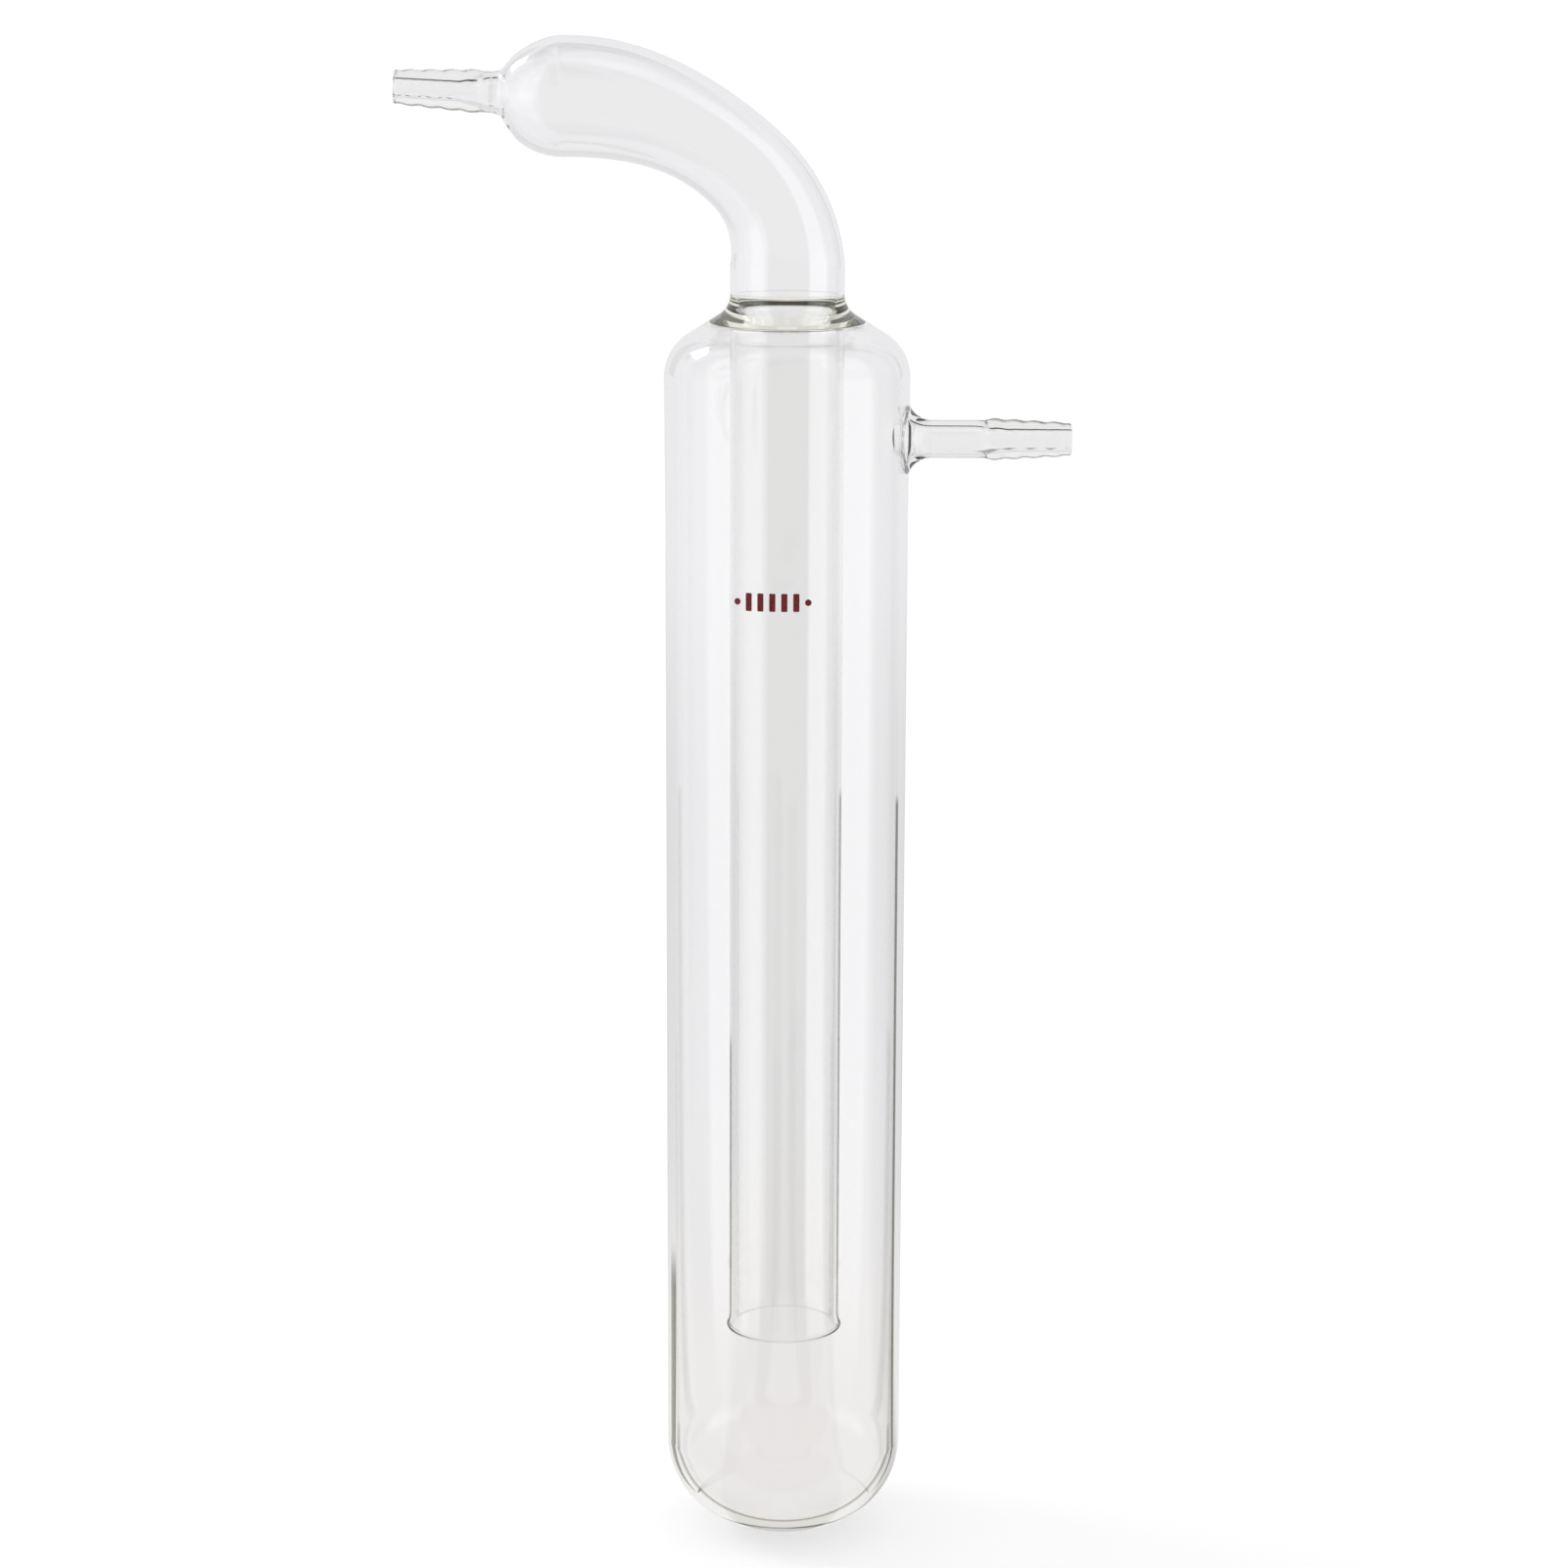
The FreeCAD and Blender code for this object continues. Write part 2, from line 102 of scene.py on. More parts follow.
class Shell:
    # vertices and faces of one closed glass wall, built ring by ring
    def __init__(self):
        self.points = []
        self.faces = []

    def add(self, points):
        first = len(self.points)
        self.points.extend(tuple(p) for p in points)
        return list(range(first, len(self.points)))

    def circle(self, radius, height, count):
        turns = np.linspace(0, 2 * math.pi, count, endpoint=False)
        return self.add((radius * math.cos(a), radius * math.sin(a), height) for a in turns)

    def bridge(self, lower, upper, skip=()):
        count = len(lower)
        for j in range(count):
            if j not in skip:
                k = (j + 1) % count
                self.faces.append((lower[j], lower[k], upper[k], upper[j]))

    def fan(self, pole, circle):
        for j in range(len(circle)):
            self.faces.append((circle[(j + 1) % len(circle)], circle[j], pole))

    def loop(self, profile):
        # turns a closed (radius, height) section about Z
        circles = [self.circle(r, z, around) for r, z in profile]
        for lower, upper in zip(circles, circles[1:] + circles[:1]):
            self.bridge(lower, upper)

    def finish(self, name, weldWithin=1e-7):
        mesh = bpy.data.meshes.new(name)
        mesh.from_pydata(self.points, [], self.faces)
        tidy = bmesh.new()
        tidy.from_mesh(mesh)
        loose = [vertex for vertex in tidy.verts if not vertex.link_faces]
        bmesh.ops.delete(tidy, geom=loose, context="VERTS")
        bmesh.ops.remove_doubles(tidy, verts=tidy.verts, dist=weldWithin)
        bmesh.ops.recalc_face_normals(tidy, faces=tidy.faces)
        tidy.to_mesh(mesh)
        tidy.free()
        return smooth(mesh)


def smooth(mesh, sharpAngle=50.0):
    mesh.shade_smooth()
    mesh.set_sharp_from_angle(angle=math.radians(sharpAngle))
    return mesh


def scratchObject(name, data):
    thing = bpy.data.objects.new(name, data)
    bpy.context.scene.collection.objects.link(thing)
    return thing


def newPiece(name, mesh, *nodes, material, slot="borosilicate"):
    piece = scratchObject(name, mesh)
    mesh.materials.clear()
    mesh.materials.append(material)
    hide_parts(*nodes)
    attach(piece, "root")


# node trees

class Steps:
    # any node tree, made as a short list of steps
    def __init__(self, tree):
        self.tree = tree

    def step(self, kind, inputs=None, **settings):
        node = self.tree.nodes.new(kind)
        for key, setting in settings.items():
            setattr(node, key, setting)
        for key, source in (inputs or {}).items():
            self.feed(node.inputs[key], source)
        return node

    def feed(self, socket, source):
        # the source is a plain value, an output, or a node that gives its first output
        if isinstance(source, bpy.types.Node):
            source = source.outputs[0]
        if isinstance(source, bpy.types.NodeSocket):
            self.tree.links.new(source, socket)
        else:
            socket.default_value = source

    def math(self, operation, *terms):
        return self.step("ShaderNodeMath", dict(enumerate(terms)), operation=operation)

    def product(self, first, *others):
        for other in others:
            first = self.math("MULTIPLY", first, other)
        return first

    def vector(self, operation, *terms):
        return self.step("ShaderNodeVectorMath", dict(enumerate(terms)), operation=operation)

    def parts(self, whole):
        return self.step("ShaderNodeSeparateXYZ", {0: whole}).outputs

    def joined(self, x=0.0, y=0.0, z=0.0):
        return self.step("ShaderNodeCombineXYZ", {"X": x, "Y": y, "Z": z})

    def between(self, share, first, second):
        # the first value where the share is 0, the second where it is 1
        return self.step("ShaderNodeMapRange", {"Value": share, "To Min": first, "To Max": second})

    def rise(self, value, start, end, kind="SMOOTHSTEP"):
        # 0 up to the start, 1 from the end on
        return self.step("ShaderNodeMapRange", {"Value": value, "From Min": start, "From Max": end},
                         interpolation_type=kind)


class Shading(Steps):
    # the nodes of a material or of the world
    def __init__(self, owner):
        owner.use_nodes = True
        owner.node_tree.nodes.clear()
        super().__init__(owner.node_tree)
        isWorld = isinstance(owner, bpy.types.World)
        self.ending = "ShaderNodeOutputWorld" if isWorld else "ShaderNodeOutputMaterial"

    def place(self, kind="Object"):
        return self.step("ShaderNodeTexCoord").outputs[kind]

    def without(self, share):
        return self.math("SUBTRACT", 1.0, share)

    def band(self, value, centre, halfWidth, softness):
        # 1 inside the band and 0 outside it
        off = self.math("ABSOLUTE", self.math("SUBTRACT", value, centre))
        return self.rise(off, halfWidth + softness, halfWidth - softness)

    def mix(self, share, first, second):
        return self.step("ShaderNodeMix", {0: share, 6: first, 7: second}, data_type="RGBA").outputs[2]

    def degrees(self, across, onward):
        return self.product(self.math("ARCTAN2", across, onward), 180 / math.pi)

    def length(self, first, second):
        return self.math("SQRT", self.math("ADD", self.product(first, first), self.product(second, second)))

    def finish(self, closing):
        self.step(self.ending, closing)


class Tree(Steps):
    # a geometry node group with named inputs, run once on one object
    kinds = {float: "Float", int: "Int", bpy.types.Object: "Object", bpy.types.Material: "Material"}

    def __init__(self, name, values):
        super().__init__(bpy.data.node_groups.new(name, "GeometryNodeTree"))
        self.values = values
        face = self.tree.interface
        for side in ("OUTPUT", "INPUT"):
            face.new_socket("Geometry", in_out=side, socket_type="NodeSocketGeometry")
        for label, value in values.items():
            face.new_socket(label, in_out="INPUT", socket_type="NodeSocket" + self.kinds[type(value)])
        self.inputs = self.step("NodeGroupInput").outputs

    def moved(self, geometry, position):
        return self.step("GeometryNodeSetPosition", {"Geometry": geometry, "Position": position})

    def close(self, geometry):
        real = self.step("GeometryNodeRealizeInstances", {"Geometry": geometry})
        material = self.inputs["Material"]
        finished = self.step("GeometryNodeSetMaterial", {"Geometry": real, "Material": material})
        self.step("NodeGroupOutput", {0: finished})
        return self

    def applied(self, source):
        # gives back the result as a plain mesh
        modifier = source.modifiers.new("shape", "NODES")
        modifier.node_group = self.tree
        for item in self.tree.interface.items_tree:
            if item.in_out == "INPUT" and item.name in self.values:
                modifier[item.identifier] = self.values[item.name]
        graph = bpy.context.evaluated_depsgraph_get()
        graph.update()
        mesh = bpy.data.meshes.new_from_object(source.evaluated_get(graph), depsgraph=graph)
        source.modifiers.remove(modifier)
        bpy.data.objects.remove(source)
        return mesh


# materials

glassLook = {
    "ior": 1.473,
    "haze": 0.010,
    "ripple": 0.04,            # flame-worked glass is never quite even
    "rippleDepth": 0.001,
    "rippleScale": (22, 22, 6),
}
glassKinds = {                 # each kind's colour, and how deeply it is coloured
    "drawn": {"tint": (0.72, 0.72, 0.60, 1.0), "density": 17.0},
    "fused": {"tint": (0.90, 0.88, 0.50, 1.0), "density": 28.0},
    "hose": {"tint": (0.64, 0.68, 0.44, 1.0), "density": 6.0},
}
# painted shade: a dark line painted on the round bottom, just inside the wall's own outline; it moves with
# the view
paintedBottomShade = {
    "facing": 0.2575,
    "halfWidth": 0.0085,
    "softness": 0.004,
    "colour": (0.12, 0.09, 0.06, 1.0),
    "top": -0.112,
    "fade": 0.014,
    "innerRadius": 0.0206,
}
enamelLook = {
    "grain": 1500.0,
    "tones": ((0.35, (0.16, 0.008, 0.010, 1.0)), (0.68, (0.34, 0.025, 0.030, 1.0))),
    "roughness": (0.28, 0.48),
    "bump": 0.25,
    "bumpDepth": 0.00003,
}
white = (1.0, 1.0, 1.0, 1.0)


def onPaintedBottomShade(shading):
    # where light leaves the round bottom's inner wall close to the angle at which glass turns it back; the
    # dark line is painted shade, chosen by that angle, so it isn't what clear glass does by itself
    facing = shading.step("ShaderNodeLayerWeight", {"Blend": 0.5}).outputs["Facing"]
    glance = shading.band(facing, paintedBottomShade["facing"], paintedBottomShade["halfWidth"], paintedBottomShade["softness"])
    leaving = shading.step("ShaderNodeNewGeometry").outputs["Backfacing"]
    x, y, z = shading.parts(shading.place())
    kneeCentre, kneeHeight, _ = kneePlace()
    across = shading.math("SUBTRACT", shading.length(x, y), kneeCentre)
    away = shading.length(across, shading.math("SUBTRACT", z, kneeHeight))
    inner = shading.math("LESS_THAN", away, paintedBottomShade["innerRadius"])
    low = shading.rise(z, paintedBottomShade["top"], paintedBottomShade["top"] - paintedBottomShade["fade"], "LINEAR")
    return shading.product(glance, leaving, inner, low)


def makeGlass(kind):
    glass = bpy.data.materials.new(kind + "BorosilicateGlass")
    shading = Shading(glass)
    drawn = shading.step("ShaderNodeMapping", {"Vector": shading.place(), "Scale": glassLook["rippleScale"]})
    ripple = shading.step("ShaderNodeTexNoise", {"Vector": drawn, "Scale": 1.0, "Detail": 1.0}).outputs["Fac"]
    colour = white
    if kind == "drawn":
        # the drawn glass's colour turns dark brown there: a painted shade line along the round bottom's inner
        # wall
        colour = shading.mix(onPaintedBottomShade(shading), white, paintedBottomShade["colour"])
    surface = shading.step("ShaderNodeBsdfPrincipled", {
        "Base Color": colour, "IOR": glassLook["ior"], "Transmission Weight": 1.0,
        "Roughness": shading.between(ripple, 0.0, glassLook["haze"]),
        "Normal": shading.step("ShaderNodeBump", {
            "Height": ripple, "Strength": glassLook["ripple"], "Distance": glassLook["rippleDepth"],
        }),
    })
    volume = shading.step("ShaderNodeVolumeAbsorption", {
        "Color": glassKinds[kind]["tint"], "Density": glassKinds[kind]["density"],
    })
    shading.finish({"Surface": surface, "Volume": volume})
    return glass


def makeEnamel():
    enamel = bpy.data.materials.new("firedEnamel")
    shading = Shading(enamel)
    grain = shading.step("ShaderNodeTexNoise", {
        "Vector": shading.place(), "Scale": enamelLook["grain"], "Detail": 4.0,
    }).outputs["Fac"]
    tone = shading.step("ShaderNodeValToRGB", {"Fac": grain})
    for stop, (at, colour) in zip(tone.color_ramp.elements, enamelLook["tones"]):
        stop.position = at
        stop.color = colour
    surface = shading.step("ShaderNodeBsdfPrincipled", {
        "Base Color": tone,
        "Roughness": shading.between(grain, *enamelLook["roughness"]),
        "Normal": shading.step("ShaderNodeBump", {
            "Height": grain, "Strength": enamelLook["bump"], "Distance": enamelLook["bumpDepth"],
        }),
    })
    shading.finish({"Surface": surface})
    return enamel


drawnGlass = makeGlass("drawn")
fusedGlass = makeGlass("fused")
hoseGlass = makeGlass("hose")
enamel = makeEnamel()
print("materials made")


# the outer jacket with its side arm seal

ring = {
    "fillet": 0.006,
    "roofEdge": 0.0176,        # how far out the annulus has a flat roof, before it follows the shoulder
    "roofCorner": 0.0008,
    "tubeFillet": 0.0008,      # where the roof turns down into the dip tube
    "top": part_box("ring_seal")[1].z,
}
outlet = {
    "height": mounts["outlet_hose"]["pos_m"][2],
    "start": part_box("side_arm")[0].x,
    "tip": mounts["outlet_hose"]["pos_m"][0],
    "shank": 0.00465,
    "bore": 0.0031,
    "tipBore": 0.0022,
    "sealRadius": 0.0088,      # where the weld starts to rise from the barrel
    "sealPull": (0.0016, 0.0026),      # how far its curve is pulled in from there, and back from the arm
    "mouthRadius": 0.0070,     # where the weld's inner wall leaves the barrel's
    "mouthPull": (0.0022, 0.0038),
}
jacket = {
    "around": 288,             # segments round the jacket
    "crownRows": 36,
    "kneeRows": 34,
    "barrelRows": 24,          # from the knee to where the swell starts
    "swellRows": 3,            # from there to the side arm's window
    "topRows": 2,
    "shoulderRows": 28,
    "slopeRows": 6,
    "windowColumns": 20,       # columns either side of the side arm that its patch takes the place of
    "windowHalfHeight": 0.0125,
    "windowRows": 26,
    "patchRings": 7,
    "patchCrowding": 0.85,     # under 1, the patch's rings lie closer together towards the weld
    "weldRings": 14,
}


def seatPoints():
    # the shoulder's outer and inner corner at the ring seal, and the height of the roof over the annulus
    slope = math.radians(barrel["slope"])
    wall = barrel["wall"] + barrel["swell"]
    rise = (barrel["topRadius"] - barrel["seatRadius"]) * math.tan(slope)
    seat = np.array([barrel["seatRadius"], barrel["topHeight"] + rise])
    under = seat - wall * np.array([math.sin(slope), math.cos(slope)])
    corner = ring["roofCorner"]
    run = under[0] - ring["roofEdge"] - corner * math.sin(slope)
    roof = under[1] + run * math.tan(slope) + corner * (1 - math.cos(slope))
    return seat, under, roof


def jacketProfiles():
    outside, wall = barrel["radius"], barrel["wall"]
    kneeRun, kneeHeight, kneeStart = kneePlace()
    crownCentre = (0.0, barrel["bottom"] + barrel["crown"])
    kneeCentre = (kneeRun, kneeHeight)
    swellStart, swellEnd, swell = barrel["swellStart"], barrel["swellEnd"], barrel["swell"]
    shoulderCentre = (outside + swell - barrel["shoulder"], swellEnd)
    seat, under, _ = seatPoints()
    windowLow = outlet["height"] - jacket["windowHalfHeight"]
    windowHigh = outlet["height"] + jacket["windowHalfHeight"]
    heights = [kneeHeight]
    for end, rows in ((swellStart, "barrelRows"), (windowLow, "swellRows"),
                      (windowHigh, "windowRows"), (swellEnd, "topRows")):
        heights += after(heights[-1], end, jacket[rows])
    profiles = []
    for inset in (0.0, wall):
        shoulder = barrel["shoulder"] - inset * (wall + swell) / wall

        def side(z):
            # only the outside swells a little towards the shoulder
            grown = min(max((z - swellStart) / (swellEnd - swellStart), 0), 1)
            return outside - inset + (0 if inset else swell * grown), z

        points = arcPoints(crownCentre, barrel["crown"] - inset, -90, kneeStart, jacket["crownRows"])[1:]
        points += arcPoints(kneeCentre, barrel["knee"] - inset, kneeStart, 0, jacket["kneeRows"])[1:]
        points += [side(z) for z in heights[1:]]
        points += arcPoints(shoulderCentre, shoulder, 0, 90 - barrel["slope"], jacket["shoulderRows"])[1:]
        points += straight(points[-1], under if inset else seat, jacket["slopeRows"])[1:]
        profiles.append(points)
    return profiles, windowLow


def barrelSurface(radius, across, height):
    return math.sqrt(radius ** 2 - across ** 2), across, height


def weldRings(shell, boundary, surfaceRadius, holeRadius, boreRadius, pull):
    # the patch lies on the barrel from its window's edge to the weld, and the weld sweeps up to the arm
    corners = [shell.points[i] for i in boundary]
    middle = outlet["height"]
    turns = [math.atan2(z - middle, y) for _, y, z in corners]
    holes = [(holeRadius * math.cos(a), middle + holeRadius * math.sin(a)) for a in turns]
    previous = boundary
    for k in range(1, jacket["patchRings"] + 1):
        share = (k / jacket["patchRings"]) ** jacket["patchCrowding"]
        points = []
        for (x, y, z), (holeY, holeZ) in zip(corners, holes):
            height = z + (holeZ - z) * share
            points.append(barrelSurface(surfaceRadius(height), y + (holeY - y) * share, height))
        current = shell.add(points)
        shell.bridge(previous, current)
        previous = current
    leaveRadius, arriveAt = holeRadius - pull[0], outlet["start"] - pull[1]
    for k in range(1, jacket["weldRings"] + 1):
        t = k / jacket["weldRings"]
        weights = ((1 - t) ** 3, 3 * t * (1 - t) ** 2, 3 * t * t * (1 - t), t ** 3)
        points = []
        for a, (holeY, holeZ) in zip(turns, holes):
            start = np.array(barrelSurface(surfaceRadius(holeZ), holeY, holeZ))
            leave = np.array([start[0], leaveRadius * math.cos(a), middle + leaveRadius * math.sin(a)])
            leave[0] += (start[1] - leave[1]) * start[1] / start[0]
            arrive = np.array([arriveAt, boreRadius * math.cos(a), middle + boreRadius * math.sin(a)])
            end = arrive.copy()
            end[0] = outlet["start"] + fuse
            points.append(sum(w * p for w, p in zip(weights, (start, leave, arrive, end))))
        current = shell.add(points)
        shell.bridge(previous, current)
        previous = current
    return previous


def makeJacket():
    (outer, inner), windowLow = jacketProfiles()
    shell = Shell()
    spread = jacket["windowColumns"]
    columns = [j % jacket["around"] for j in range(-spread, spread + 1)]
    window = set(columns[:-1])
    tops, arms = [], []
    sides = (
        (outer, barrel["bottom"], "sealRadius", "shank", "sealPull"),
        (inner, barrel["bottom"] + barrel["wall"], "mouthRadius", "bore", "mouthPull"),
    )
    for profile, bottom, hole, bore, pull in sides:
        pole = shell.add([(0, 0, bottom)])[0]
        circles = [shell.circle(r, z, jacket["around"]) for r, z in profile]
        radii, heights = np.array(profile).T
        first = int(np.argmin(abs(heights - windowLow)))
        last = first + jacket["windowRows"]
        shell.fan(pole, circles[0])
        for i in range(len(circles) - 1):
            shell.bridge(circles[i], circles[i + 1], window if first <= i < last else ())
        low = [circles[first][j] for j in columns]
        high = [circles[last][j] for j in columns]
        right = [circles[i][columns[-1]] for i in range(first, last + 1)]
        left = [circles[i][columns[0]] for i in range(first, last + 1)]
        boundary = low[:-1] + right[:-1] + high[::-1][:-1] + left[::-1][:-1]

        def surfaceRadius(height):
            return float(np.interp(height, heights[first - 1:last + 2], radii[first - 1:last + 2]))

        arms.append(weldRings(shell, boundary, surfaceRadius, outlet[hole], outlet[bore], outlet[pull]))
        tops.append(circles[-1])
    shell.bridge(*tops)
    shell.bridge(*arms)
    mesh = shell.finish("outerJacket")
    newPiece("outer_jacket_glass", mesh, "outer_jacket", "side_arm_seal", material=drawnGlass)


makeJacket()
print("jacket made")


# the ring seal and the dip tube

tube = {
    "radius": 0.014,
    "wall": 0.0014,
    "dipEnd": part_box("dip_tube")[0].z,
    "lipRadius": 0.0147,
    "lipLength": 0.005,
    "lipRows": 13,
    "rows": 51,                # above the lip
}


def makeRing():
    outside, inside = tube["radius"], tube["radius"] - tube["wall"]
    slope = math.radians(barrel["slope"])
    seat, under, roof = seatPoints()
    top, fillet, edge, corner = ring["top"], ring["tubeFillet"], ring["roofEdge"], ring["roofCorner"]
    foot = roof - fillet
    outward = fuse * np.array([math.cos(slope), -math.sin(slope)])
    section = [(inside, foot - fuse), (outside, foot - fuse)]
    section += arcPoints((outside + fillet, foot), fillet, 180, 90, 12)
    section += straight((outside + fillet, roof), (edge, roof), 6)[1:]
    section += arcPoints((edge, roof - corner), corner, 90, 90 - barrel["slope"], 10)[1:]
    section += [tuple(under + outward), tuple(seat + outward)]
    section += arcPoints((outside + ring["fillet"], top), ring["fillet"], 270 - barrel["slope"], 180, 22)
    section += [(outside, top + fuse), (inside, top + fuse)]
    section += straight((inside, top), (inside, foot), 10)
    shell = Shell()
    shell.loop(section)
    newPiece("ring_seal_glass", shell.finish("ringSeal"), "ring_seal", material=fusedGlass)


def makeDipTube():
    outside, wall, low = tube["radius"], tube["wall"], tube["dipEnd"]
    flareEnd, half = low + tube["lipLength"], wall / 2
    _, _, roof = seatPoints()
    top = roof - ring["tubeFillet"] + fuse

    def flare(z):
        # the lip is opened out a little in the flame
        return (tube["lipRadius"] - outside) * (1 - min((z - low) / tube["lipLength"], 1)) ** 3

    heights = [low + half, *after(low + half, flareEnd, tube["lipRows"]), *after(flareEnd, top, tube["rows"])]
    section = [(outside + flare(z), z) for z in heights]
    section += [(outside - wall + flare(z), z) for z in reversed(heights)]
    lipCentre = (tube["lipRadius"] - half, low + half)
    section += arcPoints(lipCentre, half, 180, 360, 16)[1:-1]
    shell = Shell()
    shell.loop(section)
    newPiece("dip_tube_glass", shell.finish("dipTube"), "dip_tube", material=drawnGlass)


makeRing()
makeDipTube()
print("ring seal and dip tube made")


# the gooseneck: blown straight, with its waist and bulb, then bent along its centre line

neck = {
    "lead": 0.001,             # the centre line starts this far below the neck's base
    "straight": 0.0069,
    "bend": 0.0318,            # radius of the first bend
    "bendAngle": 46.5,
    "crook": 0.063,            # radius of the wider crook that follows it
    "bulbLength": 0.0012,
    "waistRadius": 0.012,
    "waistAt": 5 / 12,         # share of the bent length at which the tube is narrowest
    "bulbRadius": 0.01445,
    "endRadius": 0.0168,       # radius of the bulb's rounded end
    "tilted": 0.7,             # share of the way from the bulb to the inlet in which the line tips up
    "overrun": 1.15,           # how far past the inlet's start it goes, as a share of that way
    "straightRows": 5,
    "bentRows": 120,
    "endRows": 32,             # over the bulb's rounded end
    "filletRows": 14,
    "linePoints": {"straight": 12, "bend": 60, "crook": 90, "tip": 40},
}
inlet = {
    "tip": Vector(mounts["inlet_hose"]["pos_m"]),
    "axis": Vector(mounts["inlet_hose"]["axis"]),
    "tilt": 3.0,
    "shank": 0.0049,
    "bore": 0.0033,
    "tipBore": 0.00185,
    "length": 0.0233,
    "sealFillet": 0.0036,
    "innerFillet": 0.0042,
}


def bendTree(line):
    tree = Tree("bendAlongPath", {"Path": line, "Material": drawnGlass})
    x, y, z = tree.parts(tree.step("GeometryNodeInputPosition"))
    path = tree.step("GeometryNodeObjectInfo", {"Object": tree.inputs["Path"]}, transform_space="RELATIVE")
    point = tree.step("GeometryNodeSampleCurve", {"Curves": path.outputs["Geometry"], "Length": z},
                      mode="LENGTH", use_all_curves=False).outputs
    outward = tree.vector("NORMALIZE", tree.vector("CROSS_PRODUCT", (0, 1, 0), point["Tangent"]))
    sideways = tree.step("ShaderNodeVectorMath", {0: outward, "Scale": x}, operation="SCALE")
    bent = tree.vector("ADD", tree.vector("ADD", point["Position"], sideways), tree.joined(y=y))
    return tree.close(tree.moved(tree.inputs["Geometry"], bent))


def gooseneckPath():
    # the centre line's points, its bent length, and the way from the bulb's end to the inlet's start
    bend, crook, angle, counts = neck["bend"], neck["crook"], neck["bendAngle"], neck["linePoints"]
    turn = math.radians(angle)
    base, top = ring["top"], ring["top"] + neck["straight"]
    points = [(0.0, base - neck["lead"])]
    points += straight((0.0, base), (0.0, top), counts["straight"])
    points += arcPoints((-bend, top), bend, 0, angle, counts["bend"])[1:]
    centre = np.array(points[-1]) - crook * np.array([math.cos(turn), math.sin(turn)])
    points += arcPoints(centre, crook, angle, 90, counts["crook"])[1:]
    bentLength = bend * turn + crook * (math.pi / 2 - turn)
    x, z = points[-1]
    x -= neck["bulbLength"]
    points.append((x, z))
    # past the bulb's end the line tips up, over the rounded end, until it is the inlet's axis
    reach = (inlet["tip"] - Vector((x, 0, z))).length - inlet["length"]
    for distance in after(0, reach * neck["overrun"], counts["tip"]):
        lean = math.radians(inlet["tilt"] * ease(distance / (neck["tilted"] * reach)))
        points.append((x - distance * math.cos(lean), z + distance * math.sin(lean)))
    return points, bentLength, reach


def neckRadius(length, bentLength):
    # the tube's outside radius at a length along the centre line from the ring
    t = (length - neck["straight"]) / bentLength
    waist = neck["waistAt"]
    if t <= 0:
        return tube["radius"]
    if t <= waist:
        return tube["radius"] - (tube["radius"] - neck["waistRadius"]) * math.sin(math.pi / 2 * t / waist)
    widen = (1 - math.cos(math.pi * min((t - waist) / (1 - waist), 1))) / 2
    return neck["waistRadius"] + (neck["bulbRadius"] - neck["waistRadius"]) * widen


def bulbEndPoints(inset, shank, fillet, endAt, reach):
    # rounded end, then a fillet that turns out into the connection; (radius, length along the line)
    end = neck["endRadius"] - inset
    offset = neck["bulbRadius"] - neck["endRadius"]
    rise = shank + fillet - offset
    run = math.sqrt((end + fillet) ** 2 - rise ** 2)
    meet = math.degrees(math.asin(rise / (end + fillet)))
    points = arcPoints((offset, endAt), end, 0, 90 - meet, neck["endRows"])[1:]
    points += arcPoints((shank + fillet, endAt + run), fillet, -90 - meet, -180, neck["filletRows"])[1:]
    points += straight((shank, endAt + run), (shank, endAt + reach + fuse), 4)[1:]
    return points


def makeGooseneck():
    points, bentLength, reach = gooseneckPath()
    bendEnd = neck["straight"] + bentLength
    bulbEnd = bendEnd + neck["bulbLength"]
    lengths = [-fuse, *after(-fuse, neck["straight"], neck["straightRows"])]
    lengths += [*after(neck["straight"], bendEnd, neck["bentRows"]), bulbEnd]
    profiles = []
    for inset, bore, fillet in ((0.0, "shank", "sealFillet"), (tube["wall"], "bore", "innerFillet")):
        profile = [(neckRadius(s, bentLength) - inset, s) for s in lengths]
        profile += bulbEndPoints(inset, inlet[bore], inlet[fillet], bulbEnd, reach)
        profiles.append([(r, s + neck["lead"]) for r, s in profile])
    outer, inner = profiles
    shell = Shell()
    shell.loop(outer + inner[::-1])
    blank = scratchObject("gooseneckBlank", shell.finish("gooseneckBlank"))
    curve = bpy.data.curves.new("gooseneckLine", "CURVE")
    curve.dimensions = "3D"
    spline = curve.splines.new("POLY")
    spline.points.add(len(points) - 1)
    for target, (x, z) in zip(spline.points, points):
        target.co = (x, 0, z, 1)
    line = scratchObject("gooseneckLine", curve)
    mesh = bendTree(line).applied(blank)
    bpy.data.objects.remove(line)
    mesh.name = "gooseneck"
    newPiece("gooseneck_glass", smooth(mesh), "gooseneck", "inlet_seal", material=drawnGlass)


makeGooseneck()
print("gooseneck made")


# the hose connections: a plain drawn tube, then its ridges

ridges = {
    "count": 4,
    "toFirst": 0.0039,
    "pitch": 0.00495,
    "first": 0.0044,
    "growth": 0.00027,
    "depth": 0.0003,
    "runOut": 0.0029,
    "outerFrom": 0.78,         # nearer the axis than this share of the shank, the wall keeps its shape
    "tipRound": 0.001,
    "rimRound": 0.0004,
    "boreTaper": 0.0095,
    "taperLead": 0.0025,       # how far before the ridges' run-out the bore starts to narrow
    "rows": 150,
    "taperRows": 30,
}


